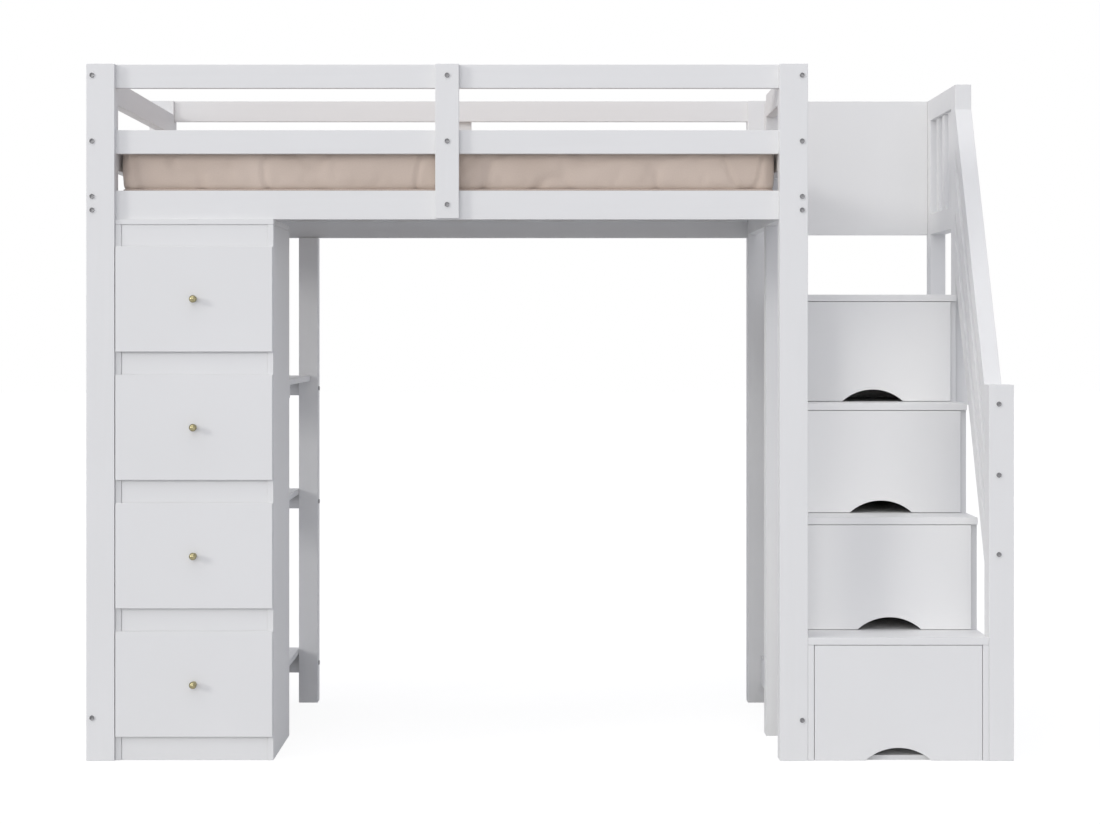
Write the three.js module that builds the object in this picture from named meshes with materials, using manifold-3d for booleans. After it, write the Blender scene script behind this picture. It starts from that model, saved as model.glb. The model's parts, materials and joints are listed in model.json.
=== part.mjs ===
// Loft bed with storage: a bed on tall posts, a drawer cabinet with open shelves behind it under one end,
// and a staircase with a drawer in each step at the other end.
//
// Millimetres, +Z up. The origin is on the floor, under the middle of the overall box. +X runs from the
// cabinet to the staircase, and -Y is the front, where the drawers pull out.
import * as THREE from 'three';
import { mergeVertices } from 'three/addons/utils/BufferGeometryUtils.js';
import Module from 'manifold-3d';

const wasm = await Module();
wasm.setup();

// Clearances
const seat = 0.3; // between two pieces that are screwed or rest face to face
const slideGap = 2; // round a drawer that slides

// Facets of round shapes, and the overlap that joining and cutting need
const arcFacetCount = 12; // in an outline's arc
const knobFacetCount = 24; // round a knob
const ballRingCount = 9; // from a knob's stem to its crown
const mattressFacets = [18, 10, 6]; // along, across and up
const overlap = 1; // how far joined pieces run into each other, and cutters past a face

// Mattress
const mattressLength = 1905;
const mattressWidth = 990;
const mattressHeight = 155; // at its edges
const mattressCrown = 9; // how far the middle stands over the edges
const mattressEdge = 28; // radius of its rolled edges
const mattressDrawIn = 7; // how far the long sides pull in between the corners
const drawInPower = 4; // the higher, the nearer to the corners the draw-in reaches
const sidePower = 8; // the higher, the less of the top and bottom moves with the sides
const mattressEndPlay = 2.5;
const mattressSidePlay = 1;

// Bed frame
const postWidth = 81;
const postDepth = 58;
const railThickness = 23;
const railSetback = 22; // from the posts' front faces to the rails
const tenonLength = 70; // how far a long rail goes into a post
const sideRailBottom = 1556;
const sideRailHeight = 83;
const rearRailDrop = 9.5; // how much lower the rear side rail reaches than the front one
const guardHeight = 68;
const lowGuardSpace = 106; // from the side rail up to the lower guard
const topGuardSpace = 121; // from the lower guard up to the upper one
const endRailThickness = 30;
const endGuardDrop = 46; // from a long guard's top down to an end guard's top
const footRailBottom = 65;
const footRailHeight = 90;
const footRailSetback = 9; // behind the posts' outer faces
const uprightWidth = 68;
const uprightThickness = 21.5;
const uprightLeft = 1002; // from the bed's left end
const uprightLift = 2; // from the front side rail's lower edge up to the foot of both uprights
const entryPostFront = 405; // from the bed's front
const entryPostDepth = 60;
const entryPostRound = 26; // radius of its inner top corner

// Slats
const slatCount = 12;
const slatWidth = 72;
const slatThickness = 14;
const ledgerSize = 20;
const ledgerDrop = 20; // from a side rail's top down to the slats' seat
const ribbonWidth = 32;
const ribbonThickness = 1.6;
const ribbonInset = 180; // from a side rail to a ribbon
const slatPlay = 4; // from a slat's end to the side rail

// Cabinet
const cabinetWidth = 455;
const cabinetDepth = 410; // from the drawers' faces to the back
const cabinetDrawerCount = 4;
const cabinetBoard = 17;
const cabinetFront = 10; // thickness of a drawer's front
const cabinetTopThickness = 15;
const cabinetBackThickness = 6;
const faceFrameThickness = 18;
const faceFrameSetback = 3; // behind the side panels' front edges
const faceFrameStile = 22;
const plinthHeight = 69;
const crossRailHeight = 66; // between two drawer fronts
const headerHeight = 63;
const frontLap = 8; // how far a drawer front laps over its window
const cabinetFrontPlay = 2; // from a drawer front's end to the cabinet's side
const cleatHeight = 18;
const cleatReach = 53; // from the cabinet's side to the cleat's free edge, under the drawer
const drawerWall = 12;
const drawerFloor = 6;
const drawerHeadroom = 22; // over a cabinet drawer's box
const cabinetDrawerRoom = 42; // behind a closed drawer
const knobRadius = 11;
const knobStemRadius = 4;
const knobReach = 30; // from a drawer's face to the knob's crown
const knobFoot = 9; // radius of the knob's base plate
const knobFootThickness = 1.5;

// Shelves behind the cabinet
const lowShelfTop = 179;
const middleShelfTop = 711;
const highShelfTop = 1088;
const shelfThickness = 18;
const shelfPostWidth = 63;
const shelfPostLap = 39; // how far the highest shelf's right end reaches past the post's left face
const apronHeight = 48;
const lowApronHeight = 63; // under the lowest shelf
const frontCleatHeight = 40;

// Staircase
const stairWidth = 519.5;
const stairDepth = 1060;
const stairBoard = 17.5;
const treadThickness = 21;
const firstTreadTop = 354;
const landingTop = 1348;
const stepCount = 4;
const landingFront = 508; // from the staircase's front to the landing's front edge
const panelSetback = 14; // of the side panels' edges behind the upper three drawers' faces
const stairBackThickness = 15;
const stairBase = 14;
const stairFront = 17; // thickness of a drawer's front
const stairFrontPlay = 1.5;
const stairDrawerRoom = 101; // behind the highest drawer, which sets the depth of all four
const stairFloorLift = 44; // from a drawer front's lower edge up to its floor
const stairDrawerHeadroom = 24;
const moonChord = 188; // width of a drawer's finger cut-out
const moonRise = 36;

// Rails of the staircase
const newelWidth = 71;
const railPostWidth = 50;
const railPostDepth = 72;
const newelHeight = 1080;
const upperPostSetback = 29; // behind the landing's front edge
const railPostFoot = 1006;
const slopeDrop = 77; // from the upper post's top down to where the highest sloping rail meets it
const slopeRailWidth = 57;
const slopeRailSpace = 39;
const slopeRailCount = 3;
const sideGuardRail = 69;
const balusterCount = 3;
const balusterWidth = 50;
const balusterThickness = 30;
const balusterSetback = 10;
const landingPanelThickness = 18;
const landingPanelSetback = 20; // behind the rear post's front face

// Places that follow from the sizes above, all from the bed's left front corner on the floor
const innerLength = mattressLength + 2 * mattressEndPlay;
const bedLength = innerLength + 2 * postWidth;
const railInner = railSetback + railThickness;
const bedDepth = mattressWidth + 2 * (mattressSidePlay + railInner);
const rearPostFront = bedDepth - postDepth;
const sideRailTop = sideRailBottom + sideRailHeight;
const rearRailBottom = sideRailBottom - rearRailDrop;
const lowGuardBottom = sideRailTop + lowGuardSpace;
const postHeight = lowGuardBottom + guardHeight + topGuardSpace + guardHeight;
const rightPostLeft = bedLength - postWidth;
const slatSeat = sideRailTop - ledgerDrop;
const mattressBottom = slatSeat + slatThickness + seat;
const cabinetLeft = postWidth + seat;
const cabinetDrawerDepth = cabinetDepth - cabinetBackThickness - cabinetDrawerRoom;
const shelfPostLeft = cabinetLeft + cabinetWidth - shelfPostLap;
const stairLeft = bedLength + seat;
const railsLeft = stairLeft + stairWidth + seat;
const rearRailPostFront = stairDepth - railPostDepth;
const upperPostFront = landingFront + upperPostSetback;
const slopeTop = postHeight - slopeDrop;
const stairBackFront = stairDepth - stairBackThickness;
const stairDrawerDepth = stairBackFront - landingFront - stairDrawerRoom;
const overallLength = railsLeft + newelWidth;
const overallDepth = bedDepth + knobReach;

// Materials
const whitePaint = new THREE.MeshStandardMaterial({ color: 0xe4e4e6, roughness: 0.42, metalness: 0 });
const brass = new THREE.MeshStandardMaterial({ color: 0xb9a062, roughness: 0.28, metalness: 1 });
const ticking = new THREE.MeshStandardMaterial({ color: 0xdccfc2, roughness: 0.9, metalness: 0 });

// Shape helpers

/** A box between two values on each axis. */
function block([x0, x1], [y0, y1], [z0, z1]) {
  const geometry = new THREE.BoxGeometry(x1 - x0, y1 - y0, z1 - z0);
  return geometry.translate((x0 + x1) / 2, (y0 + y1) / 2, (z0 + z1) / 2);
}

/** A board from its outline. `plane` gives the outline's two axes, and the thickness is square to them. */
function board(shape, plane, from, to) {
  const settings = { depth: to - from, bevelEnabled: false, curveSegments: arcFacetCount };
  const geometry = new THREE.ExtrudeGeometry(shape, settings);
  const turned = new THREE.Matrix4();
  if (plane === 'yz') {
    turned.makeBasis(new THREE.Vector3(0, 1, 0), new THREE.Vector3(0, 0, 1), new THREE.Vector3(1, 0, 0));
    return geometry.applyMatrix4(turned).translate(from, 0, 0);
  }
  if (plane === 'xz') {
    turned.makeBasis(new THREE.Vector3(1, 0, 0), new THREE.Vector3(0, 0, 1), new THREE.Vector3(0, -1, 0));
    return geometry.applyMatrix4(turned).translate(0, to, 0);
  }
  return geometry.translate(0, 0, from);
}

/** An outline through a list of corners. */
function outline(corners) {
  return new THREE.Shape(corners.map(([u, v]) => new THREE.Vector2(u, v)));
}

/** The manifold solid of a closed geometry. */
function toSolid(geometry) {
  const bare = geometry.clone();
  bare.deleteAttribute('normal');
  bare.deleteAttribute('uv');
  const merged = mergeVertices(bare, 1e-4);
  return new wasm.Manifold(new wasm.Mesh({
    numProp: 3,
    vertProperties: new Float32Array(merged.attributes.position.array),
    triVerts: new Uint32Array(merged.index.array),
  }));
}

/** The geometry of a manifold solid. */
function toGeometry(solid) {
  const { vertProperties, triVerts } = solid.getMesh();
  const geometry = new THREE.BufferGeometry();
  geometry.setAttribute('position', new THREE.BufferAttribute(vertProperties, 3));
  geometry.setIndex(new THREE.BufferAttribute(triVerts, 1));
  geometry.computeVertexNormals();
  return geometry;
}

/** One body from pieces that overlap, with the cutters taken away. */
function join(pieces, cutters = []) {
  const whole = pieces.map(toSolid).reduce((sum, piece) => sum.add(piece));
  return toGeometry(cutters.map(toSolid).reduce((rest, cutter) => rest.subtract(cutter), whole));
}

/** A named mesh in a group. */
function add(group, name, geometry, material = whitePaint) {
  const mesh = new THREE.Mesh(geometry, material);
  mesh.name = name;
  group.add(mesh);
}

/** The heights of a side's three long rails. */
const longRails = (sideBottom) => [
  { name: 'guard_top', bottom: postHeight - guardHeight, top: postHeight },
  { name: 'guard_low', bottom: lowGuardBottom, top: lowGuardBottom + guardHeight },
  { name: 'side_rail', bottom: sideBottom, top: sideRailTop },
];

/** A corner post with a pocket for each rail's tenon. `inward` is +1 where the rails leave towards +X. */
function cornerPost(left, front, railFront, rails, inward) {
  const body = block([left, left + postWidth], [front, front + postDepth], [0, postHeight]);
  const innerFace = inward > 0 ? left + postWidth : left;
  const deep = innerFace - inward * (tenonLength + seat);
  const open = innerFace + inward * overlap;
  const reach = [Math.min(deep, open), Math.max(deep, open)];
  const pockets = rails.map(({ bottom, top }) => {
    const roof = top === postHeight ? top + overlap : top + seat;
    return block(reach, [railFront - seat, railFront + railThickness + seat], [bottom - seat, roof]);
  });
  return join([body], pockets);
}

/** The bed's posts, rails, uprights and slats. */
function makeBedFrame() {
  const group = new THREE.Group();
  const sides = [
    {
      name: 'front',
      postFront: 0,
      railFront: railSetback,
      rails: longRails(sideRailBottom),
      ledger: railInner,
      upright: 0,
    },
    {
      name: 'rear',
      postFront: rearPostFront,
      railFront: bedDepth - railInner,
      rails: longRails(rearRailBottom),
      ledger: bedDepth - railInner - ledgerSize,
      upright: bedDepth - uprightThickness,
    },
  ];
  const tenonEnds = [postWidth - tenonLength, rightPostLeft + tenonLength];
  for (const side of sides) {
    const { postFront, railFront, rails } = side;
    add(group, `post_${side.name}_left`, cornerPost(0, postFront, railFront, rails, 1));
    add(group, `post_${side.name}_right`, cornerPost(rightPostLeft, postFront, railFront, rails, -1));
    const railDepth = [railFront, railFront + railThickness];
    for (const { name, bottom, top } of rails) {
      const bar = block(tenonEnds, railDepth, [bottom, top]);
      if (name !== 'side_rail') {
        add(group, `${side.name}_${name}`, bar);
        continue;
      }
      // The ledger runs along the rail's inner face, from post to post, and is sunk into it a little.
      const near = side.name === 'front' ? side.ledger - overlap : side.ledger;
      const ledgerEnds = [postWidth + seat, rightPostLeft - seat];
      const ledger = block(ledgerEnds, [near, near + ledgerSize + overlap],
        [slatSeat - ledgerSize, slatSeat]);
      add(group, `${side.name}_${name}`, join([bar, ledger]));
    }
    const uprightDepth = [side.upright, side.upright + uprightThickness];
    const uprightEnds = [uprightLeft, uprightLeft + uprightWidth];
    add(group, `${side.name}_upright`, block(uprightEnds, uprightDepth,
      [sideRailBottom + uprightLift, postHeight]));
  }

  const endDepth = [postDepth + seat, rearPostFront - seat];
  const leftEnd = [postWidth - endRailThickness, postWidth];
  const rightEnd = [rightPostLeft, rightPostLeft + endRailThickness];
  const endGuardTop = postHeight - endGuardDrop;
  const lowEndGuardTop = lowGuardBottom + guardHeight - endGuardDrop;
  const guard = (top) => [top - guardHeight, top];
  const bedRail = [sideRailBottom, sideRailTop];
  const footRail = [footRailBottom, footRailBottom + footRailHeight];
  add(group, 'left_guard_top', block(leftEnd, endDepth, guard(endGuardTop)));
  add(group, 'left_guard_low', block(leftEnd, endDepth, guard(lowEndGuardTop)));
  add(group, 'left_bed_rail', block(leftEnd, endDepth, bedRail));
  const footReach = [footRailSetback, footRailSetback + endRailThickness];
  add(group, 'left_foot_rail', block(footReach, endDepth, footRail));

  // At the right end the guards stop at the entry post, the foot rail starts there, and the bed's rail
  // passes it in a notch.
  const guardDepth = [postDepth + seat, entryPostFront - seat];
  add(group, 'right_guard_top', block(rightEnd, guardDepth, guard(endGuardTop)));
  add(group, 'right_guard_low', block(rightEnd, guardDepth, guard(lowEndGuardTop)));
  add(group, 'right_bed_rail', block(rightEnd, endDepth, bedRail));
  const entryDepth = [entryPostFront, entryPostFront + entryPostDepth];
  const rightFootReach = footReach.map((x) => bedLength - x).reverse();
  const behindEntry = [entryDepth[1] + seat, rearPostFront - seat];
  add(group, 'right_foot_rail', block(rightFootReach, behindEntry, footRail));

  const entry = new THREE.Shape();
  entry.moveTo(rightPostLeft, 0);
  entry.lineTo(bedLength, 0);
  entry.lineTo(bedLength, endGuardTop);
  const round = { x: rightPostLeft + entryPostRound, z: endGuardTop - entryPostRound };
  entry.lineTo(round.x, endGuardTop);
  entry.absarc(round.x, round.z, entryPostRound, Math.PI / 2, Math.PI);
  const notch = block(
    [rightPostLeft - overlap, rightPostLeft + endRailThickness + seat],
    [entryDepth[0] - overlap, entryDepth[1] + overlap],
    [bedRail[0] - seat, bedRail[1] + seat],
  );
  add(group, 'entry_post', join([board(entry, 'xz', ...entryDepth)], [notch]));

  add(group, 'slat_deck', makeSlatDeck());
  return group;
}

/** Slats that lie across the ledgers, held at even spaces by two ribbons underneath. */
function makeSlatDeck() {
  const pitch = (innerLength - slatWidth - 2 * slatPlay) / (slatCount - 1);
  const firstSlat = postWidth + slatPlay;
  const slatEnds = [railInner + slatPlay, bedDepth - railInner - slatPlay];
  const slats = Array.from({ length: slatCount }, (_, i) => {
    const left = firstSlat + i * pitch;
    return block([left, left + slatWidth], slatEnds, [slatSeat + seat, slatSeat + slatThickness]);
  });
  const ribbonTop = slatSeat + seat + ribbonThickness / 2;
  const ribbonEnds = [firstSlat, firstSlat + slatWidth + (slatCount - 1) * pitch];
  const ribbons = [railInner + ribbonInset, bedDepth - railInner - ribbonInset - ribbonWidth].map((front) => (
    block(ribbonEnds, [front, front + ribbonWidth], [ribbonTop - ribbonThickness, ribbonTop])
  ));
  return join([...slats, ...ribbons]);
}

/** The mattress: a block with rolled edges, a crowned top and long sides that pull in between the corners. */
function makeMattress() {
  const half = new THREE.Vector3(mattressLength / 2, mattressWidth / 2, mattressHeight / 2);
  const geometry = new THREE.BoxGeometry(2 * half.x, 2 * half.y, 2 * half.z, ...mattressFacets);
  const position = geometry.attributes.position;
  const point = new THREE.Vector3();
  const core = new THREE.Vector3();
  for (let i = 0; i < position.count; i += 1) {
    point.fromBufferAttribute(position, i);
    const u = point.x / half.x;
    const v = point.y / half.y;
    const w = point.z / half.z;
    core.copy(half).subScalar(mattressEdge);
    core.set(
      THREE.MathUtils.clamp(point.x, -core.x, core.x),
      THREE.MathUtils.clamp(point.y, -core.y, core.y),
      THREE.MathUtils.clamp(point.z, -core.z, core.z),
    );
    point.sub(core).setLength(mattressEdge).add(core);
    const crown = mattressCrown * (1 - u * u) * (1 - v * v);
    const drawIn = mattressDrawIn * (1 - Math.abs(u) ** drawInPower) * (1 - w * w);
    // 1 or -1 on the long sides, and next to nothing between them
    const side = Math.sign(v) * Math.abs(v) ** sidePower;
    position.setXYZ(i, point.x, point.y - side * drawIn, point.z + Math.max(w, 0) * crown);
  }
  geometry.translate(bedLength / 2, bedDepth / 2, mattressBottom + half.z);
  const group = new THREE.Group();
  add(group, 'mattress', geometry, ticking);
  return group;
}

// Heights in the cabinet: the underside of its top, and the bottom and top of each drawer's front, from the
// lowest up
const cabinetTopUnder = sideRailBottom - seat - cabinetTopThickness;
const cabinetFrontHeight = (
  cabinetTopUnder - headerHeight - plinthHeight - (cabinetDrawerCount - 1) * crossRailHeight
) / cabinetDrawerCount;
const cabinetFronts = Array.from({ length: cabinetDrawerCount }, (_, i) => {
  const bottom = plinthHeight + i * (cabinetFrontHeight + crossRailHeight);
  return [bottom, bottom + cabinetFrontHeight];
});
// The openings in the face frame, from left to right
const cabinetWindow = [
  cabinetBoard + seat + faceFrameStile,
  cabinetWidth - cabinetBoard - seat - faceFrameStile,
];

/** The cabinet under the bed's left end, in its own frame with its left front corner at the origin. */
function makeCabinet() {
  const group = new THREE.Group();
  const carcassFront = cabinetFront + seat;
  const backFront = cabinetDepth - cabinetBackThickness;
  const inside = [cabinetBoard + seat, cabinetWidth - cabinetBoard - seat];
  const frameFront = carcassFront + faceFrameSetback;
  const frameBack = frameFront + faceFrameThickness;

  const boxBottoms = cabinetFronts.map(([bottom]) => bottom + frontLap + slideGap);
  const sidePanel = (outer, inner) => {
    const panel = block([Math.min(outer, inner), Math.max(outer, inner)], [carcassFront, backFront - seat],
      [0, cabinetTopUnder - seat]);
    const cleatEnd = inner + Math.sign(inner - outer) * (cleatReach - cabinetBoard);
    const cleatRoot = (outer + inner) / 2;
    const cleats = boxBottoms.map((bottom) => block(
      [Math.min(cleatRoot, cleatEnd), Math.max(cleatRoot, cleatEnd)],
      [frameBack + seat, backFront - seat],
      [bottom - seat - cleatHeight, bottom - seat],
    ));
    return join([panel, ...cleats]);
  };
  add(group, 'cabinet_side_left', sidePanel(0, cabinetBoard));
  add(group, 'cabinet_side_right', sidePanel(cabinetWidth, cabinetWidth - cabinetBoard));
  add(group, 'cabinet_top', block([0, cabinetWidth], [carcassFront, cabinetDepth],
    [cabinetTopUnder, cabinetTopUnder + cabinetTopThickness]));
  add(group, 'cabinet_back', block([0, cabinetWidth], [backFront, cabinetDepth],
    [0, cabinetTopUnder - seat]));

  const baseTop = boxBottoms[0] - seat - cleatHeight - seat;
  const baseDepth = [frameBack + seat, backFront - seat];
  add(group, 'cabinet_base', block(inside, baseDepth, [baseTop - cabinetBoard, baseTop]));

  const frame = block(inside, [frameFront, frameBack], [0, cabinetTopUnder - seat]);
  const windows = cabinetFronts.map(([bottom, top]) => block(cabinetWindow,
    [frameFront - overlap, frameBack + overlap], [bottom + frontLap, top - frontLap]));
  add(group, 'cabinet_face_frame', join([frame], windows));

  cabinetFronts.forEach(([bottom, top], i) => {
    const number = cabinetDrawerCount - i;
    add(group, `cabinet_drawer_${number}`, makeCabinetDrawer(bottom, top));
    add(group, `cabinet_knob_${number}`, makeKnob(cabinetWidth / 2, (bottom + top) / 2), brass);
  });
  return group;
}

/** A drawer with an overlay front, closed, so that its face is at y = 0. */
function makeCabinetDrawer(bottom, top) {
  const front = block([cabinetFrontPlay, cabinetWidth - cabinetFrontPlay], [0, cabinetFront], [bottom, top]);
  const ends = [cabinetWindow[0] + slideGap, cabinetWindow[1] - slideGap];
  const floor = bottom + frontLap + slideGap;
  const rim = top - frontLap - drawerHeadroom;
  const box = block(ends, [cabinetFront - overlap, cabinetDrawerDepth], [floor, rim]);
  const room = block([ends[0] + drawerWall, ends[1] - drawerWall],
    [cabinetFront, cabinetDrawerDepth - drawerWall], [floor + drawerFloor, rim + overlap]);
  return join([front, join([box], [room])]);
}

/** A turned knob that stands on a drawer's face. */
function makeKnob(x, z) {
  const ballCentre = knobReach - knobRadius;
  const footTop = seat + knobFootThickness;
  const coneTop = footTop + knobFootThickness;
  const profile = [[0, seat], [knobFoot, seat], [knobFoot, footTop], [knobStemRadius, coneTop]];
  const start = Math.asin(knobStemRadius / knobRadius);
  for (let i = 0; i < ballRingCount; i += 1) {
    const angle = start + (Math.PI - start) * (i / ballRingCount);
    profile.push([knobRadius * Math.sin(angle), ballCentre - knobRadius * Math.cos(angle)]);
  }
  profile.push([0, knobReach]);
  const geometry = new THREE.LatheGeometry(profile.map(([r, y]) => new THREE.Vector2(r, y)), knobFacetCount);
  // The lathe turns round its own Y axis, which is turned to point out of the drawer's face.
  return geometry.rotateX(Math.PI).translate(x, 0, z);
}

/** The shelves behind the cabinet with the post that holds their rear corner. */
function makeShelves() {
  const group = new THREE.Group();
  const postEnds = [shelfPostLeft, shelfPostLeft + shelfPostWidth];
  add(group, 'shelf_post', block(postEnds, [rearPostFront, bedDepth], [0, rearRailBottom - seat]));
  const left = cabinetLeft;
  const besidePost = shelfPostLeft - seat;
  const front = cabinetDepth + seat;
  const apronDepth = [bedDepth - railInner, bedDepth - railSetback];
  const shelves = [
    { top: lowShelfTop, right: besidePost, apronDrop: lowApronHeight },
    { top: middleShelfTop, right: besidePost, apronDrop: apronHeight },
    { top: highShelfTop, right: cabinetLeft + cabinetWidth, apronDrop: apronHeight },
  ];
  shelves.forEach(({ top, right, apronDrop }, i) => {
    // The highest board passes in front of the post. All three go on beside it over their aprons.
    const corners = right === besidePost ? [[right, front]] : [
      [right, front],
      [right, rearPostFront - seat],
      [besidePost, rearPostFront - seat],
    ];
    const shape = outline([[left, front], ...corners, [besidePost, apronDepth[1]], [left, apronDepth[1]]]);
    const under = top - shelfThickness;
    const shelfBoard = board(shape, 'xy', under, top);
    const apron = block([left, besidePost], apronDepth, [under - apronDrop, under + overlap]);
    const cleatDepth = [front, front + shelfThickness];
    const frontCleat = block([left, right], cleatDepth, [under - frontCleatHeight, under + overlap]);
    add(group, `shelf_${i + 1}`, join([shelfBoard, apron, frontCleat]));
  });
  return group;
}

// Steps of the staircase: each one's tread top and the plane of its drawer's face
const rise = (landingTop - firstTreadTop) / (stepCount - 1);
const going = landingFront / (stepCount - 1);
const steps = Array.from({ length: stepCount }, (_, i) => ({
  top: firstTreadTop + i * rise,
  face: i * going,
  edge: i * going + (i === 0 ? 0 : panelSetback),
}));
const stairInside = [stairBoard + seat, stairWidth - stairBoard - seat];

/** The staircase with its drawers, in its own frame with its left front corner at the origin. */
function makeStaircase() {
  const group = new THREE.Group();
  const corners = [[0, 0], [stairDepth, 0], [stairDepth, landingTop - treadThickness - seat]];
  for (const step of [...steps].reverse()) {
    const under = step.top - treadThickness - seat;
    corners.push([step.edge, under]);
    if (step.face > 0) {
      corners.push([step.edge, steps[steps.indexOf(step) - 1].top - treadThickness - seat]);
    }
  }
  const stepped = outline(corners);
  add(group, 'stair_side_left', board(stepped, 'yz', 0, stairBoard));
  add(group, 'stair_side_right', board(stepped, 'yz', stairWidth - stairBoard, stairWidth));

  const back = block(stairInside, [stairBackFront, stairDepth], [0, landingTop - treadThickness - seat]);
  const base = block(stairInside, [stairFront + slideGap, stairBackFront + overlap], [0, stairBase]);
  add(group, 'stair_back_and_base', join([back, base]));

  steps.forEach((step, i) => {
    add(group, `stair_tread_${i + 1}`, makeTread(step, steps[i + 1]));
    const below = i === 0 ? { frontFloor: 0, runFloor: stairBase } : {
      frontFloor: steps[i - 1].top,
      runFloor: steps[i - 1].top,
    };
    add(group, `stair_drawer_${i + 1}`, makeStairDrawer(step, below));
  });
  return group;
}

/** A tread. It laps over both side panels up to the next step, then goes on between them under a drawer. */
function makeTread(step, next) {
  if (!next) {
    return block([0, stairWidth], [step.face, stairDepth], [step.top - treadThickness, step.top]);
  }
  const lap = next.edge - seat;
  const end = stairBackFront - seat;
  const shape = outline([
    [0, step.face],
    [stairWidth, step.face],
    [stairWidth, lap],
    [stairInside[1], lap],
    [stairInside[1], end],
    [stairInside[0], end],
    [stairInside[0], lap],
    [0, lap],
  ]);
  return board(shape, 'xy', step.top - treadThickness, step.top);
}

/** A step's drawer. Its front has a half-moon for the fingers, and its floor is set above that. The lowest
 * front reaches down to the floor, past the base that its box runs on. */
function makeStairDrawer(step, { frontFloor, runFloor }) {
  const ends = [stairBoard + stairFrontPlay, stairWidth - stairBoard - stairFrontPlay];
  const bottom = frontFloor + stairFrontPlay;
  const top = step.top - treadThickness - stairFrontPlay;
  const middle = stairWidth / 2;
  const radius = (moonChord ** 2 / 4 + moonRise ** 2) / (2 * moonRise);
  const halfAngle = Math.asin(moonChord / 2 / radius);
  const front = new THREE.Shape();
  front.moveTo(ends[0], bottom);
  front.lineTo(middle - moonChord / 2, bottom);
  const upright = Math.PI / 2;
  front.absarc(middle, bottom + moonRise - radius, radius, upright + halfAngle, upright - halfAngle, true);
  front.lineTo(ends[1], bottom);
  front.lineTo(ends[1], top);
  front.lineTo(ends[0], top);

  const boxEnds = [ends[0] + slideGap, ends[1] - slideGap];
  const foot = runFloor + seat;
  const rim = top - stairDrawerHeadroom;
  const floorBottom = bottom + stairFloorLift;
  const near = step.face + stairFront;
  const far = step.face + stairDrawerDepth;
  const box = block(boxEnds, [near - overlap, far], [foot, rim]);
  const across = [boxEnds[0] + drawerWall, boxEnds[1] - drawerWall];
  const room = block(across, [near, far - drawerWall], [floorBottom + drawerFloor, rim + overlap]);
  const under = block(across, [near - 2 * overlap, far + overlap], [foot - overlap, floorBottom]);
  return join([board(front, 'xz', step.face, near), join([box], [room, under])]);
}

/** The posts, sloping rails and guards round the staircase. */
function makeStairRails() {
  const group = new THREE.Group();
  const across = [railsLeft, railsLeft + railPostWidth];
  add(group, 'newel_post', block([railsLeft, railsLeft + newelWidth], [0, railPostDepth], [0, newelHeight]));
  add(group, 'upper_post', block(across, [upperPostFront, upperPostFront + railPostDepth],
    [railPostFoot, postHeight]));
  add(group, 'landing_post', block(across, [rearRailPostFront, stairDepth], [railPostFoot, postHeight]));

  const near = railPostDepth + seat;
  const far = upperPostFront - seat;
  const slope = (slopeTop - newelHeight) / (far - near);
  const stretch = Math.hypot(1, slope); // from a width square to the slope to a plumb height
  for (let i = 0; i < slopeRailCount; i += 1) {
    const drop = i * (slopeRailWidth + slopeRailSpace) * stretch;
    const low = newelHeight - drop;
    const high = slopeTop - drop;
    const shape = outline([
      [near, low - slopeRailWidth * stretch],
      [far, high - slopeRailWidth * stretch],
      [far, high],
      [near, low],
    ]);
    add(group, `sloping_rail_${i + 1}`, board(shape, 'yz', ...across));
  }

  const guardEnds = [upperPostFront + railPostDepth + seat, rearRailPostFront - seat];
  const space = (guardEnds[1] - guardEnds[0] - balusterCount * balusterWidth) / (balusterCount + 1);
  const balusterLeft = railsLeft + balusterSetback;
  const rails = [
    [sideRailBottom, sideRailBottom + sideGuardRail],
    [postHeight - sideGuardRail, postHeight],
  ].map((heights) => block(across, guardEnds, heights));
  const balusters = Array.from({ length: balusterCount }, (_, i) => {
    const front = guardEnds[0] + space + i * (space + balusterWidth);
    return block([balusterLeft, balusterLeft + balusterThickness], [front, front + balusterWidth],
      [sideRailBottom + sideGuardRail / 2, postHeight - sideGuardRail / 2]);
  });
  add(group, 'landing_side_guard', join([...rails, ...balusters]));

  const panelFront = rearPostFront + landingPanelSetback;
  add(group, 'landing_back_panel', block([bedLength + seat, railsLeft - seat],
    [panelFront, panelFront + landingPanelThickness], [sideRailBottom, postHeight]));
  return group;
}

const loftBed = new THREE.Group();
const cabinet = makeCabinet();
cabinet.position.set(cabinetLeft, 0, 0);
const staircase = makeStaircase();
staircase.position.set(stairLeft, 0, 0);
loftBed.add(makeBedFrame(), makeMattress(), cabinet, makeShelves(), staircase, makeStairRails());
loftBed.position.set(-overallLength / 2, knobReach - overallDepth / 2, 0);

export default loftBed;
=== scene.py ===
# %% [markdown]
# # A white loft bed with storage
# The real object is a tall painted loft bed for one sleeper. Below it stand a cabinet of four drawers and
# three deep shelves, and a staircase at the right end has a drawer in each step. Its shapes come from the
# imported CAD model, which this script loads as a fixed frame and never moves. What the script adds is what
# the eye looks for: rounded paint edges, turned brass knobs, bolt heads, a sewn mattress, and materials
# with some depth in them. All lengths are in metres.

import json
import math

import bmesh
import bpy
from mathutils import Matrix, Vector, noise


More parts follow.
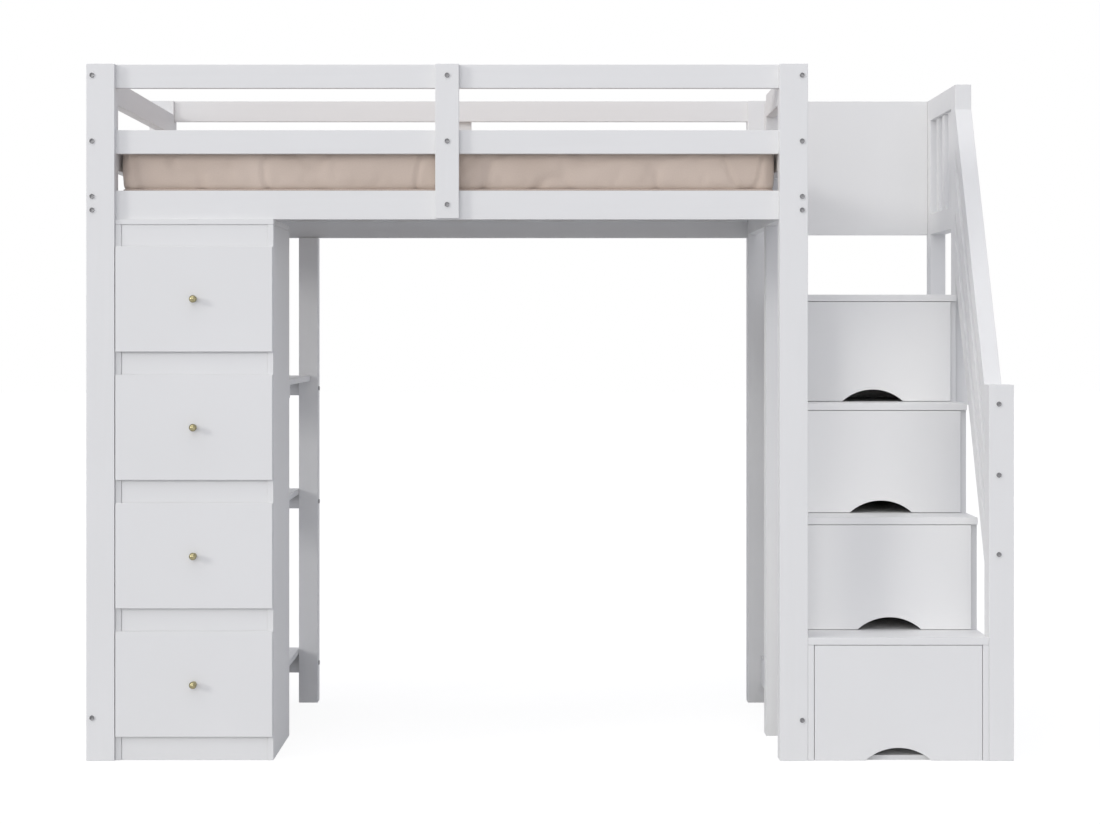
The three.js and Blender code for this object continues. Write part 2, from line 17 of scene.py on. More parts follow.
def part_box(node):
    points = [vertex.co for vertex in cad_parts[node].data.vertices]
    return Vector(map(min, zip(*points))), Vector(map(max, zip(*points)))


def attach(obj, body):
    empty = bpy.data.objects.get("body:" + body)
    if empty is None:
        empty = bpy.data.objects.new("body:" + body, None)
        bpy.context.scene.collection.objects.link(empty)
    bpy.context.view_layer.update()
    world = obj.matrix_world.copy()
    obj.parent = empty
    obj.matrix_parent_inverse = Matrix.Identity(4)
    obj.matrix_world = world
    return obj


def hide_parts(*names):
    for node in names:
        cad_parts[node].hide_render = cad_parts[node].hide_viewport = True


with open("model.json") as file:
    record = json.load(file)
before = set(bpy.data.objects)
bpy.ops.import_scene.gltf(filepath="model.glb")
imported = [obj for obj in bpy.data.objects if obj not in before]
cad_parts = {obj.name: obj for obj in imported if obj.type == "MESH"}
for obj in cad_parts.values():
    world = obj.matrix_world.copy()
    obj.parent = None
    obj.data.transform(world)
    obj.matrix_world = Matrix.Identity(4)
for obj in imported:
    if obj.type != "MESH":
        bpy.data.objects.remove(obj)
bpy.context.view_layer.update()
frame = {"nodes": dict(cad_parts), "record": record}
nodes = frame["nodes"]

# %% [markdown]
# ## Camera
# The photograph was taken square to the front, from a long way off, with the lens at a little over half the
# height. A level camera with a long lens keeps the posts upright. Lens shift brings the floor into the
# frame, as a view camera does, where a tilt would make the posts lean.

# %% Place the camera
lens_place = (-0.0086, -6.970, 1.223)
sensor_width = 36  # in millimetres, as the focal length is
focal_length = 73.47
lens_shift = (0.0027, -0.07)  # in widths of the picture


def in_scene(name, data):
    """A new object in the scene. It sits at the origin, unturned and unscaled."""
    thing = bpy.data.objects.new(name, data)
    bpy.context.scene.collection.objects.link(thing)
    return thing


camera = in_scene("camera", bpy.data.cameras.new("camera"))
bpy.context.scene.camera = camera
camera.location = lens_place
camera.rotation_euler = (math.radians(90), 0, 0)
camera.data.sensor_width = sensor_width
camera.data.lens = focal_length
camera.data.shift_x, camera.data.shift_y = lens_shift

# %% [markdown]
# ## Shader maths
# A node tree can be wired one node at a time, but its arithmetic is easier to read as arithmetic. `Value`
# wraps an output socket and adds a Math node for each operator, also where the number comes first, as in
# `1 - mask`. `Shader.add` makes every other node: it takes the node's type, the settings that change its
# sockets, and then the values or links of those sockets.

# %% Values that can be added and multiplied
class Value:
    """An output socket of a shader node that takes part in Python's arithmetic."""

    def __init__(self, socket):
        self.socket = socket

    def maths(self, operation, *terms):
        """The result of a Math node in this value's tree. Each term is a number or a Value."""
        tree = self.socket.id_data
        node = tree.nodes.new("ShaderNodeMath")
        node.operation = operation
        for place, term in zip(node.inputs, terms):
            if isinstance(term, Value):
                tree.links.new(term.socket, place)
            else:
                place.default_value = term
        return Value(node.outputs[0])

    def __add__(self, other):
        return self.maths("ADD", self, other)

    def __radd__(self, other):
        return self.maths("ADD", other, self)

    def __sub__(self, other):
        return self.maths("SUBTRACT", self, other)

    def __rsub__(self, other):
        return self.maths("SUBTRACT", other, self)

    def __mul__(self, other):
        return self.maths("MULTIPLY", self, other)

    def __rmul__(self, other):
        return self.maths("MULTIPLY", other, self)

    def wave(self):
        """A sine of this value."""
        return self.maths("SINE", self)

    def sibling(self, name):
        """Another output of the node that this value comes from."""
        return Value(self.socket.node.outputs[name])


print("values take +, - and *, with a number on either side")

# %% A material and the one method for its nodes
class Shader:
    """A material, or the world, whose nodes are added one at a time by `add`."""

    def __init__(self, owner):
        owner.use_nodes = True
        self.owner = owner
        self.tree = owner.node_tree
        self.tree.nodes.clear()

    def add(self, kind, settings=None, sockets=None, result=None):
        """Adds a node and gives the output called `result`, or its first one. A socket goes by its name, or
        by its number where two have the same name."""
        node = self.tree.nodes.new("ShaderNode" + kind)
        for name, value in (settings or {}).items():
            if name == "stops":
                for stop, (place, colour) in zip(node.color_ramp.elements, value):
                    stop.position, stop.color = place, (*colour, 1)
            else:
                setattr(node, name, value)
        for key, value in (sockets or {}).items():
            named = (s for s in node.inputs if s.enabled and s.name == key)
            socket = node.inputs[key] if isinstance(key, int) else next(named)
            if isinstance(value, Value):
                self.tree.links.new(value.socket, socket)
            else:
                socket.default_value = value
        outputs = [s for s in node.outputs if s.enabled and (result is None or s.name == result)]
        return Value(outputs[0]) if outputs else None


print("every node but Math comes from", Shader.add.__qualname__)

# %% [markdown]
# ## Floor, world and light
# The photograph shows the bed on plain white, softly lit. Each knob throws its shadow to the right and a
# little down, tops and fronts are nearly equal, and faces turned to the right are a third darker. One lamp
# could give that shadow, but not the even tops and fronts. So there are three broad lamps: a window at the
# left, the open room ahead, which also reaches in under the bed, and a ceiling. A bluish world fills the
# shadows. The white background is a colour that only camera, gloss and glass rays meet, so it adds no light
# to the paint, while polished brass still mirrors it.

# %% An even world that the camera sees as white
fill_colour, fill_strength = (0.84, 0.87, 1, 1), 0.54
pure_white = (1, 1, 1, 1)


def white_to_the_eye(shader, usual, white, share):
    """Mixes a share of `white` into `usual`, for the rays that show the background itself."""
    camera_ray = shader.add("LightPath", result="Is Camera Ray")
    glossy_ray = camera_ray.sibling("Is Glossy Ray")
    clear_ray = camera_ray.sibling("Is Transmission Ray")
    seen = 1 - (1 - camera_ray) * (1 - glossy_ray) * (1 - clear_ray)
    return shader.add("MixShader", None, {"Fac": share * seen, 1: usual, 2: white})


sky = Shader(bpy.data.worlds.new("studio"))
bpy.context.scene.world = sky.owner
fill = sky.add("Background", None, {"Color": fill_colour, "Strength": fill_strength})
white = sky.add("Background", None, {"Color": pure_white, "Strength": 1.0})
sky.add("OutputWorld", None, {"Surface": white_to_the_eye(sky, fill, white, share=1.0)})
bpy.context.scene.view_settings.view_transform = "Standard"
print("world:", len(sky.tree.nodes), "nodes, fill strength", fill_strength)

# %% The floor
floor_reach = 40  # from the middle to each side
floor_grey = (0.55, 0.55, 0.55, 1)
floor_glow = 1.28  # what the eye meets of this, with the lit grey, comes to white
floor_share = 0.7  # the rest shows the object's shadow

sheet = bmesh.new()
bmesh.ops.create_grid(sheet, x_segments=1, y_segments=1, size=floor_reach)
mesh = bpy.data.meshes.new("floor")
sheet.to_mesh(mesh)
sheet.free()
floor = in_scene("floor", mesh)
ground = Shader(bpy.data.materials.new("studio_floor"))
matte = ground.add("BsdfDiffuse", None, {"Color": floor_grey})
white = ground.add("Emission", None, {"Color": pure_white, "Strength": floor_glow})
ground.add("OutputMaterial", None, {"Surface": white_to_the_eye(ground, matte, white, floor_share)})
mesh.materials.append(ground.owner)
print("floor", floor.dimensions.x, "m wide")

# %% Three broad lamps
lamp_colour = (1.0, 0.985, 0.95)


def broad_lamp(name, towards, strength, spread):
    """A sun that stands in direction `towards` and is `spread` degrees wide, so that its shadows are soft."""
    lamp = bpy.data.lights.new(name, "SUN")
    lamp.energy = strength
    lamp.angle = math.radians(spread)
    lamp.color = lamp_colour
    in_scene(name, lamp).rotation_euler = Vector(towards).to_track_quat("Z", "Y").to_euler()
    print(name, "strength", strength)


broad_lamp("window", (-0.82, -0.48, 0.28), strength=0.85, spread=14)
broad_lamp("room", (-0.15, -0.97, 0.18), strength=0.91, spread=50)
broad_lamp("ceiling", (-0.20, -0.30, 0.93), strength=0.9, spread=60)

# %% [markdown]
# ## Satin paint
# The real bed is pine and board under one satin white. A single flat white would look like plastic. Pine
# still shows its grain faintly through the paint, as a slight relief that runs along each piece, so the
# noise is stretched along the piece's own length. Board has none: a roller leaves a fine orange-peel
# instead. Both drift a little in colour and gloss, which keeps broad faces alive.

# %% What every finish here is made of
def new_finish(name):
    """The tree of a new material, and each point's place on the object."""
    shader = Shader(bpy.data.materials.new(name))
    return shader, shader.add("TexCoord", result="Object")


def mottle(shader, place, scale, detail, distortion=0.0):
    """Noise from 0 to 1. The larger the scale, the smaller its patches."""
    return shader.add("TexNoise", None, {
        "Vector": place, "Scale": scale, "Detail": detail, "Distortion": distortion})


def tinted(shader, tone, dark, light):
    """A colour between two others. Each of them comes with the tone at which it is reached."""
    return shader.add("ValToRGB", {"stops": [dark, light]}, {"Fac": tone})


def raised(shader, height, strength, distance):
    """A normal that makes a height of 0 to 1 look up to `distance` high."""
    return shader.add("Bump", None, {"Height": height, "Strength": strength, "Distance": distance})


def finished(shader, sockets):
    """The material, once its tree ends in a Principled BSDF."""
    shader.add("OutputMaterial", None, {"Surface": shader.add("BsdfPrincipled", None, sockets)})
    return shader.owner


print("a finish has colour, roughness and relief, each from noise")

# %% Paint over pine, one for each direction of the grain
def satin(shader, tone, roughness, relief, depth):
    """A satin coat with a small relief. `tone` is a Value from 0 to 1 that moves the white a little."""
    return finished(shader, {
        "Base Color": tinted(shader, tone, (0.0, (0.74, 0.74, 0.735)), (1.0, (0.80, 0.80, 0.80))),
        "Roughness": roughness,
        "Normal": raised(shader, relief, strength=0.5, distance=depth),
        "Specular IOR Level": 0.3,
    })


def painted_pine(along):
    """Paint over pine whose grain runs along x, y or z."""
    shader, place = new_finish("painted_pine_" + along)
    stretch = [0.06 if axis == along else 1.0 for axis in "xyz"]
    grain_place = shader.add("Mapping", None, {"Vector": place, "Scale": stretch})
    grain = mottle(shader, grain_place, scale=190, detail=4, distortion=0.6)
    rings = mottle(shader, grain_place, scale=28, detail=2, distortion=1.4)
    drift = mottle(shader, place, scale=3, detail=2)
    return satin(shader, tone=0.6 * drift + 0.4 * rings, roughness=0.41 + 0.12 * drift + 0.06 * grain,
                 relief=0.5 * grain + rings, depth=0.0006)


pine_paint = {along: painted_pine(along) for along in "xyz"}
print("painted pine along", ", ".join(pine_paint))

# %% Paint rolled on board
def painted_board():
    shader, place = new_finish("painted_board")
    peel = mottle(shader, place, scale=420, detail=2)
    waves = mottle(shader, place, scale=24, detail=1)
    drift = mottle(shader, place, scale=2.2, detail=2)
    return satin(shader, tone=0.8 * drift + 0.2 * peel, roughness=0.43 + 0.12 * drift + 0.04 * peel,
                 relief=0.35 * peel + waves, depth=0.0004)


board_paint = painted_board()
print("paint on board:", board_paint.name)

# %% [markdown]
# ## Painted pieces
# Every painted CAD node has sharp corners, and paint never does: it rounds a corner and thins over it. A
# Bevel modifier would round the inward corners too, and there two pieces meet. So each node's mesh is
# copied, its loose triangles are merged and its flat faces joined again, and then only the outward corners
# get a small bevel, which can't grow into a neighbour. The copy takes the node's place.

# %% Round the outward corners of a copy
merge_distance = 0.00001
flat_angle = math.radians(0.6)  # faces that meet at less are one face
corner_angle = math.radians(30)  # edges that turn by more are corners


def round_edges(shape, edges, radius, segments):
    """Rounds some edges of a bmesh. The defaults differ from the editor's, so each setting is given."""
    bmesh.ops.bevel(shape, geom=edges, affect="EDGES", offset=radius, offset_type="OFFSET", segments=segments,
                    profile=0.5, material=-1, clamp_overlap=True)


def made_mesh(shape, name, sharp_above=None):
    """A bmesh made a mesh, shaded smooth apart from edges that turn by more than `sharp_above` degrees."""
    mesh = bpy.data.meshes.new(name)
    shape.to_mesh(mesh)
    shape.free()
    mesh.shade_smooth()
    if sharp_above is not None:
        mesh.set_sharp_from_angle(angle=math.radians(sharp_above))
    return mesh


def softened(name, radius):
    """A copy of a CAD node whose outward corners are rounded by `radius`."""
    shape = bmesh.new()
    shape.from_mesh(nodes[name].data)
    bmesh.ops.remove_doubles(shape, verts=shape.verts, dist=merge_distance)
    bmesh.ops.dissolve_limit(shape, angle_limit=flat_angle, verts=shape.verts, edges=shape.edges)
    corners = [e for e in shape.edges if e.is_manifold and e.is_convex and e.calc_face_angle() > corner_angle]
    round_edges(shape, corners, radius, segments=2)
    return made_mesh(shape, name + "_painted", sharp_above=50)


print("corners of more than", round(math.degrees(corner_angle)), "degrees will be rounded")

# %% Put a finished mesh in the scene
def place_piece(name, mesh, material, body, stands_for=None):
    """A piece that rides on a body, takes the material it is given, and may stand for a CAD node, which it
    hides.
    """
    piece = in_scene(name, mesh)
    mesh.materials.clear()
    mesh.materials.append(material)
    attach(piece, body)
    if stands_for:
        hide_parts(stands_for)
    return piece


bodies = frame["record"]["behaviour"]["bodies"]
body_of = {name: body for body, members in bodies.items() for name in members}
print("bodies:", ", ".join(bodies))

# %% Choose each piece's paint by what it is made of
boards = ("cabinet_", "stair_", "shelf_1", "shelf_2", "shelf_3", "landing_back_panel")
edge_radius = 0.0012
slat_edge_radius = 0.0006

for name in sorted(nodes):
    if name == "mattress" or "_knob_" in name:
        continue
    low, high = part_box(name)
    size = list(high - low)
    is_slats = name == "slat_deck"
    grain_along = "y" if is_slats else "xyz"[size.index(max(size))]
    paint = board_paint if name.startswith(boards) else pine_paint[grain_along]
    mesh = softened(name, slat_edge_radius if is_slats else edge_radius)
    piece = place_piece(name + "_painted", mesh, paint, body_of[name], name)
    # The large faces decide the shading, so that a rounded edge doesn't bend the light on them.
    piece.modifiers.new("flat_faces", "WEIGHTED_NORMAL").keep_sharp = True
    lowest, highest = piece.bound_box[0], piece.bound_box[6]
    grown = max(abs(a - b) for a, b in zip([*lowest, *highest], [*low, *high]))
    print(f"{name}: {len(mesh.polygons)} faces, {paint.name}, box within {grown * 1000:.2f} mm")

# %% [markdown]
# ## Brass knobs
# Each of the cabinet's drawers has one turned knob: a thin base plate, a slender stem and a polished ball.
# Spheres and cylinders could be stacked, but their joints would show. A lathe turns such a shape from one
# bar, and a spin does the same here: half the outline goes once round the knob's axis. Polished brass is
# nearly a mirror, so a trace of tarnish varies its colour and gloss. Its colour is also set darker than real
# brass, as a painted dark reflection.

# %% Brass
def polished_brass():
    shader, place = new_finish("polished_brass")
    tarnish = mottle(shader, place, scale=140, detail=3)
    polish = mottle(shader, place, scale=900, detail=2)
    return finished(shader, {
        # Both stops are darker than real brass: a painted dark reflection, as of a dim floor below the knob.
        # The tarnish noise only moves the tone between them.
        "Base Color": tinted(shader, tarnish, (0.3, (0.24, 0.21, 0.11)), (0.7, (0.42, 0.38, 0.23))),
        "Metallic": 1.0,
        "Roughness": 0.05 + 0.08 * tarnish,
        "Normal": raised(shader, polish, strength=0.15, distance=0.0002),
    })


brass = polished_brass()
print("brass:", brass.name)

# %% Turn one knob and set it on each drawer
plate_radius, stem_radius = 0.009, 0.004
ball_steps = 14  # along the ball's half outline
round_steps = 40


def turned_knob(reach, ball, plate, stem):
    """A knob on the Y axis whose base plate lies on y = 0 and whose ball, of radius `ball`, points to -Y."""
    flare = 0.0006  # how much the stem widens at either end
    middle = reach - ball
    neck = math.asin((stem + flare) / ball)
    # Each point of the outline is a radius and a distance from the drawer's face.
    plate_outline = [(0, 0), (plate, 0), (plate, 0.0009), (plate - 0.0008, 0.0016)]
    stem_outline = [(stem + 0.0022, 0.0022), (stem + flare, 0.0036), (stem, 0.006),
                    (stem, middle - ball * math.cos(neck) - 2 * flare)]
    turns = [neck + (math.pi - neck) * step / ball_steps for step in range(ball_steps)]
    ball_outline = [(ball * math.sin(turn), middle - ball * math.cos(turn)) for turn in turns]
    knob = bmesh.new()
    outline = plate_outline + stem_outline + ball_outline + [(0, reach)]
    points = [knob.verts.new((radius, -out, 0)) for radius, out in outline]
    edges = [knob.edges.new(pair) for pair in zip(points, points[1:])]
    bmesh.ops.spin(knob, geom=points + edges, cent=(0, 0, 0), axis=(0, 1, 0), dvec=(0, 0, 0),
                   angle=math.tau, steps=round_steps, use_merge=True, use_duplicate=False)
    bmesh.ops.remove_doubles(knob, verts=knob.verts, dist=merge_distance / 2)
    bmesh.ops.recalc_face_normals(knob, faces=knob.faces)
    return knob


for name in sorted(nodes):
    if "_knob_" not in name:
        continue
    low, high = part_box(name)
    knob = turned_knob(high.y - low.y, (high.x - low.x) / 2, plate_radius, stem_radius)
    bmesh.ops.translate(knob, vec=((low.x + high.x) / 2, high.y, (low.z + high.z) / 2), verts=knob.verts)
    mesh = made_mesh(knob, name + "_turned", sharp_above=40)
    place_piece(name + "_turned", mesh, brass, body_of[name], name)
    print(name, len(mesh.polygons), "faces, reach", round((high.y - low.y) * 1000, 1), "mm")

# %% [markdown]
# ## Bolts
# The rails are held in the posts by steel bolts with a hexagon socket. Their heads show in a column near
# each post's outer edge, on the uprights, on the newel and on the shelf post. A dark disc with a bump would
# do from afar, but the shaded hollow is what the eye catches. So one head is modelled with a real socket
# and is then copied to every place.

# %% Zinc-plated steel
def zinc_steel():
    shader, place = new_finish("zinc_steel")
    bloom = mottle(shader, place, scale=260, detail=3)
    return finished(shader, {
        "Base Color": tinted(shader, bloom, (0.3, (0.16, 0.16, 0.17)), (0.75, (0.29, 0.29, 0.30))),
        "Metallic": 0.9,
        "Roughness": 0.34 + 0.2 * bloom,
    })


steel = zinc_steel()
print("steel:", steel.name)

# %% One bolt head with its socket
def bolt_head(radius, height):
    """A head that stands on z = 0 and looks to +Z."""
    rounding = 0.0006
    socket_radius = 0.60 * radius
    socket_top, socket_depth = 0.72 * height, 0.68 * height
    head = bmesh.new()
    bmesh.ops.create_cone(head, cap_ends=True, segments=24, radius1=radius, radius2=radius, depth=height)
    bmesh.ops.translate(head, vec=(0, 0, height / 2), verts=head.verts)
    top_edges = [e for e in head.edges if all(v.co.z > height / 2 for v in e.verts)]
    round_edges(head, top_edges, rounding, segments=2)
    top = max(head.faces, key=lambda face: face.calc_center_median().z)
    bmesh.ops.delete(head, geom=[top], context="FACES_ONLY")
    rim = [e for e in head.edges if e.is_boundary]

    # The hexagon's sides are split until it has as many points as the round rim.
    bmesh.ops.create_circle(head, segments=6, radius=socket_radius)
    bmesh.ops.subdivide_edges(head, edges=[e for e in head.edges if e.is_wire], cuts=3)
    hexagon = [e for e in head.edges if e.is_wire]
    bmesh.ops.translate(head, vec=(0, 0, socket_top), verts=[v for v in head.verts if v.is_wire])
    bmesh.ops.bridge_loops(head, edges=rim + hexagon)

    mouth = [e for e in head.edges if e.is_boundary]
    walls = bmesh.ops.extrude_edge_only(head, edges=mouth)["geom"]
    bottom = [v for v in walls if isinstance(v, bmesh.types.BMVert)]
    bmesh.ops.translate(head, vec=(0, 0, -socket_depth), verts=bottom)
    bmesh.ops.contextual_create(head, geom=[e for e in head.edges if e.is_boundary])
    bmesh.ops.recalc_face_normals(head, faces=head.faces)
    return made_mesh(head, "bolt_head")


head_mesh = bolt_head(radius=0.0070, height=0.0038)
print("bolt head:", len(head_mesh.polygons), "faces")

# %% Set the bolts where the photograph shows them
from_post_edge = 0.0165
from_newel_edge = 0.028
from_shelf_middle = 0.004
# Heights from the floor, from the highest down
post_bolts = {"left": (1.969, 1.780, 1.621, 1.582, 0.124), "right": (1.969, 1.780, 1.621, 1.582, 0.117)}
upright_bolts = (1.969, 1.780, 1.598)
newel_bolts = (1.025, 0.821, 0.593)
shelf_bolts = (1.045, 0.668, 0.130)


def bolt_places():
    """Every bolt: its place on a face, and the way that face looks. The rear side repeats the front."""
    places = []
    for side, outward in (("front", -1), ("rear", 1)):
        for end, heights in post_bolts.items():
            low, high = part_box(f"post_{side}_{end}")
            x = low.x + from_post_edge if end == "left" else high.x - from_post_edge
            y = low.y if outward < 0 else high.y
            places += [((x, y, z), (0, outward, 0)) for z in heights]
        low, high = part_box(side + "_upright")
        y = low.y if outward < 0 else high.y
        places += [(((low.x + high.x) / 2, y, z), (0, outward, 0)) for z in upright_bolts]
    low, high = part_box("newel_post")
    places += [((low.x + from_newel_edge, low.y, z), (0, -1, 0)) for z in newel_bolts]
    low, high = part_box("shelf_post")
    y = (low.y + high.y) / 2 - from_shelf_middle
    places += [((high.x, y, z), (1, 0, 0)) for z in shelf_bolts]
    return places


heads = bmesh.new()
for place, outward in bolt_places():
    placed = len(heads.verts)
    heads.from_mesh(head_mesh)
    heads.verts.ensure_lookup_table()
    turn = Vector(outward).to_track_quat("Z", "Y").to_matrix().to_4x4()
    bmesh.ops.transform(heads, matrix=Matrix.Translation(place) @ turn, verts=heads.verts[placed:])
mesh = made_mesh(heads, "bolt_heads", sharp_above=35)
place_piece("bolt_heads", mesh, steel, "bed")
bpy.data.meshes.remove(head_mesh)
print(len(bolt_places()), "bolts,", len(mesh.polygons), "faces")

# %% [markdown]
# ## Mattress
# The mattress is foam in a quilted cover: two panels, a border between them, and a roll of tape sewn along
# both edges. The panels are stitched through in squares, so each square puffs up between its seams. Moving
# points by hand could fake that, but a cloth simulation gives truer corners. The block is remeshed evenly,
# its seams are pinned, and air pressure swells the cloth between them. The cover is cut 2% too large, which
# gives it its fullness and its small creases. A cap keeps it inside the rails.

# %% A slightly smaller block with rounded corners
room_beside, room_below, room_above = 0.007, 0.005, 0.014  # for the cover to swell into
corner = 0.034  # radius of the outline's corners, seen from above
roll = 0.014  # radius of the edges


def rise(edge):
    """How much higher one end of an edge is than the other."""
    return abs(edge.verts[0].co.z - edge.verts[1].co.z)


def mattress_block(low, high):
    """A box between two corners, with its upright edges and then its rims rounded."""
    level = 0.001  # an edge that rises by less lies flat
    rim_angle = math.radians(60)  # the two faces at a rim meet at more
    block = bmesh.new()
    bmesh.ops.create_cube(block, size=1)
    bmesh.ops.scale(block, vec=high - low, verts=block.verts)
    bmesh.ops.translate(block, vec=(low + high) / 2, verts=block.verts)
    round_edges(block, [e for e in block.edges if rise(e) > level], corner, segments=8)
    rims = [e for e in block.edges if rise(e) < level and e.calc_face_angle() > rim_angle]
    round_edges(block, rims, roll, segments=4)
    return block


cad_low, cad_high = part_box("mattress")
start_low = cad_low + Vector((room_beside, room_beside, room_below))
start_high = cad_high - Vector((room_beside, room_beside, room_above))
block = mattress_block(start_low, start_high)
mattress = in_scene("mattress_quilted", made_mesh(block, "mattress_block"))
print("mattress block:", [round(v, 3) for v in start_high - start_low])

# %% Remesh it into even cloth
voxel = 0.015


def evaluated(piece):
    """A new mesh of a piece as its modifiers leave it."""
    graph = bpy.context.evaluated_depsgraph_get()
    return bpy.data.meshes.new_from_object(piece.evaluated_get(graph), depsgraph=graph)


def apply_modifiers(piece):
    """Makes what the modifiers show the piece's own mesh."""
    piece.data = evaluated(piece)
    piece.modifiers.clear()


remesh = mattress.modifiers.new("even_cloth", "REMESH")
remesh.mode = "VOXEL"
remesh.voxel_size = voxel
apply_modifiers(mattress)
print("even cloth:", len(mattress.data.vertices), "points")

# %% Where the seams are
middle = (start_low + start_high) / 2
half = (start_high - start_low) / 2
squares = (11, 6)
pitch = [2 * half[i] / squares[i] for i in (0, 1)]
tape_inset = 0.3 * roll
tape_heights = (start_low.z + tape_inset, start_high.z - tape_inset)
tape_hold = 0.008  # points this near to a tape are sewn to it
seam_hold = 0.0077  # and this near to a seam of the panels


def inside_edge(point):
    """How far a point lies inside the mattress's rounded outline, seen from above."""
    away = [abs(point[i] - middle[i]) - (half[i] - corner) for i in (0, 1)]
    return corner - math.hypot(max(away[0], 0), max(away[1], 0)) - min(max(away), 0)


def from_seam(point):
    """How far a point of a panel lies from the nearest quilting seam, along x or y."""
    steps = [(point[i] - start_low[i]) / pitch[i] for i in (0, 1)]
    return min(abs(step - round(step)) * width for step, width in zip(steps, pitch))


def sewn(point):
    """True where the cover is held by a seam: along the tape, and along the quilting of both panels."""
    if inside_edge(point) < roll:
        return min(abs(point.z - height) for height in tape_heights) < tape_hold
    return from_seam(point) < seam_hold


seam_points = [v.index for v in mattress.data.vertices if sewn(v.co)]
mattress.vertex_groups.new(name="seams").add(seam_points, 1.0, "REPLACE")
print(squares[0] * squares[1], "squares of", [round(p * 1000) for p in pitch], "mm,",
      len(seam_points), "sewn points")

# %% A cover full of air
def swell(piece, pressure, surplus, frames):
    """The mesh that a cloth simulation gives when the cover is cut a little too large and blown up."""
    cloth = piece.modifiers.new("air", "CLOTH")
    cloth.settings.use_pressure = True
    cloth.settings.uniform_pressure_force = pressure
    cloth.settings.shrink_min = -surplus
    cloth.settings.vertex_group_mass = "seams"
    cloth.settings.effector_weights.gravity = 0.0
    cloth.settings.quality = 5
    cloth.point_cache.frame_start = 1
    cloth.point_cache.frame_end = frames
    for number in range(1, frames + 1):
        bpy.context.scene.frame_set(number)
    swollen = evaluated(piece)
    piece.modifiers.clear()
    bpy.context.scene.frame_set(1)
    return swollen


print("cloth to blow up:", len(mattress.data.polygons), "faces")

# %% Let the cover swell, but keep it inside the rails
top_reach, side_reach = 0.012, 0.004
faces_up = 0.6  # the least upward part of a normal on the top
side_gap, slat_gap = 0.0005, 0.0004


def capped(before, after, reach):
    """A move that never passes `reach`, and slows down on its way there."""
    move = after - before
    return before + move * (reach * math.tanh(move.length / reach) / move.length) if move.length else before


def settle(point):
    """Keeps a point inside the rails and above the slats."""
    return Vector((
        min(max(point.x, cad_low.x + side_gap), cad_high.x - side_gap),
        min(max(point.y, cad_low.y + side_gap), cad_high.y - side_gap),
        max(point.z, cad_low.z + slat_gap),
    ))


def put_points(mesh, points):
    """Moves all of a mesh's points at once. One by one, each move would have every normal worked out anew."""
    mesh.vertices.foreach_set("co", [number for point in points for number in point])
    mesh.update()


swollen = swell(mattress, pressure=8.0, surplus=0.02, frames=12)
reaches = [top_reach if v.normal.z > faces_up else side_reach for v in mattress.data.vertices]
before = [v.co.copy() for v in mattress.data.vertices]
after = [settle(capped(old, v.co, reach)) for old, v, reach in zip(before, swollen.vertices, reaches)]
put_points(mattress.data, after)
furthest = max((b - a).length for a, b in zip(before, after))
print("the cover swelled by up to", round(furthest * 1000, 1), "mm")

# %% [markdown]
# The cloth is now puffed but still coarse. One subdivision smooths it, and small puckers are added near the
# seams, where the thread gathers the cloth. A finer simulation could make them too, at a far longer run. A
# weave follows the surface, so each face gets a place on a flat cloth: its own two axes of three. The tape
# is a thin tube that runs round both edges and hides where those axes change.

# %% Smooth it and gather the cloth at the seams
smooth = mattress.modifiers.new("smooth", "SUBSURF")
smooth.levels = smooth.render_levels = 1
apply_modifiers(mattress)
mattress.data.name = "mattress_quilted"

loose_height, loose_scale = 0.0015, 9
pucker_height, pucker_scale, pucker_width = 0.0012, 26, 0.03
thread_depth, thread_width = 0.0035, 0.008
crease_depth, crease_width = 0.005, 0.08
crease_scale = Vector((8, 8, 4))  # longer upright than along the border
border_width = 1.5 * roll


def near(distance, width):
    """1 on a line, and next to nothing two widths away from it."""
    return math.exp(-(distance / width) ** 2)


def gathered(point, outward):
    """A point of the cover: drawn in by the thread at a seam, puckered beside it, creased on the border."""
    loose = loose_height * noise.noise(point * loose_scale)
    pucker = pucker_height * noise.noise(point * pucker_scale)
    if inside_edge(point) < border_width:
        fold = noise.noise(point * crease_scale)
        out = loose + pucker - crease_depth * near(fold, crease_width)
    else:
        seam = from_seam(point)
        out = loose + pucker * near(seam, pucker_width) - thread_depth * near(seam, thread_width)
    return settle(point + outward * out)


put_points(mattress.data, [gathered(v.co, v.normal) for v in mattress.data.vertices])
mattress.data.shade_smooth()
print("mattress:", len(mattress.data.polygons), "faces")

# %% Lay the weave on the cloth
cloth_place = mattress.data.uv_layers.new(name="cloth")
for face in mattress.data.polygons:
    across = max(range(3), key=lambda axis: abs(face.normal[axis]))
    first, second = [axis for axis in range(3) if axis != across]
    for loop in face.loop_indices:
        point = mattress.data.vertices[mattress.data.loops[loop].vertex_index].co
        cloth_place.data[loop].uv = (point[first], point[second])
print("weave laid on", len(cloth_place.data), "corners of faces")

# %% Cotton ticking
thread_pitch = 0.0014


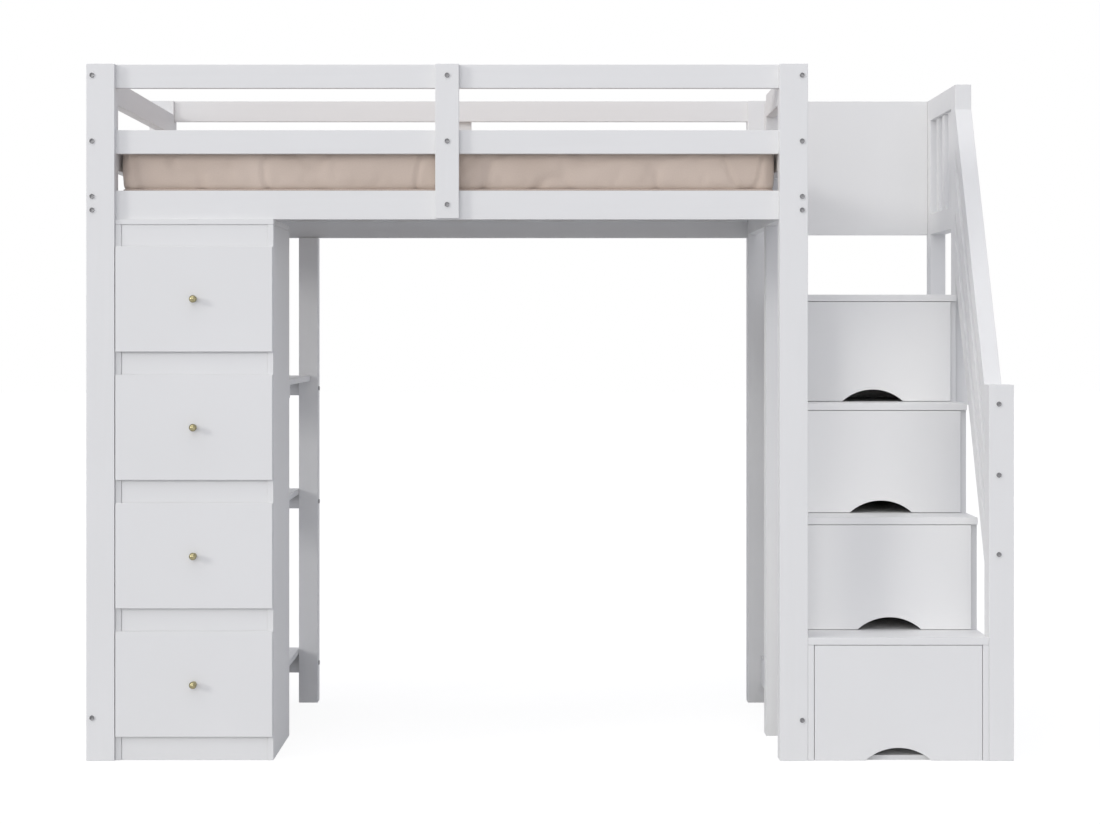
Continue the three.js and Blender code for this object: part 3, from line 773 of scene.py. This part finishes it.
def woven_cloth(name, dark, light):
    """Woven cotton, read from the piece's own UV map: crossing threads, some thicker, and a soft drift."""
    shader = Shader(bpy.data.materials.new(name))
    place = shader.add("UVMap", {"uv_map": "cloth"})
    along = shader.add("SeparateXYZ", None, {"Vector": place}, "X")
    across = along.sibling("Y")
    turns = math.tau / thread_pitch
    threads = (turns * along).wave() * (turns * across).wave()
    slub = mottle(shader, place, scale=260, detail=4)
    drift = mottle(shader, place, scale=5, detail=2)
    return finished(shader, {
        "Base Color": tinted(shader, 0.65 * drift + 0.35 * slub, (0.15, dark), (0.85, light)),
        "Roughness": 0.82 + 0.1 * slub,
        "Normal": raised(shader, 0.5 * threads + 0.7 * slub, strength=0.35, distance=0.0006),
        "Sheen Weight": 0.25,
        "Sheen Roughness": 0.5,
    })


ticking = woven_cloth("cotton_ticking", dark=(0.54, 0.44, 0.37), light=(0.69, 0.58, 0.50))
mattress.data.materials.clear()
mattress.data.materials.append(ticking)
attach(mattress, "bed")
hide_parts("mattress")
print("ticking:", ticking.name)

# %% Ribbed cotton tape
def ribbed_tape():
    shader, place = new_finish("cotton_tape")
    ribs = mottle(shader, place, scale=300, detail=3)
    return finished(shader, {
        "Base Color": tinted(shader, ribs, (0.3, (0.44, 0.35, 0.30)), (0.8, (0.56, 0.46, 0.40))),
        "Roughness": 0.8 + 0.1 * ribs,
        "Normal": raised(shader, ribs, strength=0.4, distance=0.0005),
    })


tape_cloth = ribbed_tape()
print("tape cloth:", tape_cloth.name)

# %% The sewn tape along both edges
tape_radius = 0.0042
corner_steps = 8


def tape_loop(height):
    """A closed tube round the mattress's rounded outline, at one height."""
    path = bpy.data.curves.new("tape", "CURVE")
    path.dimensions = "3D"
    path.bevel_depth = tape_radius
    path.bevel_resolution = 2
    radius = corner - tape_inset
    points = []
    for turn, (side_x, side_y) in enumerate(((1, 1), (-1, 1), (-1, -1), (1, -1))):
        x = middle.x + side_x * (half.x - corner)
        y = middle.y + side_y * (half.y - corner)
        for step in range(corner_steps + 1):
            angle = math.pi / 2 * (turn + step / corner_steps)
            points.append((x + radius * math.cos(angle), y + radius * math.sin(angle), height))
    spline = path.splines.new("POLY")
    spline.points.add(len(points) - 1)
    for knot, point in zip(spline.points, points):
        knot.co = (*point, 1)
    spline.use_cyclic_u = True
    tube = in_scene("tape", path)
    mesh = evaluated(tube)
    bpy.data.objects.remove(tube)
    return mesh


loops = bmesh.new()
for height in tape_heights:
    tape = tape_loop(height)
    loops.from_mesh(tape)
    bpy.data.meshes.remove(tape)
mesh = made_mesh(loops, "mattress_tape")
place_piece("mattress_tape", mesh, tape_cloth, "bed")
print("tape:", len(mesh.polygons), "faces")
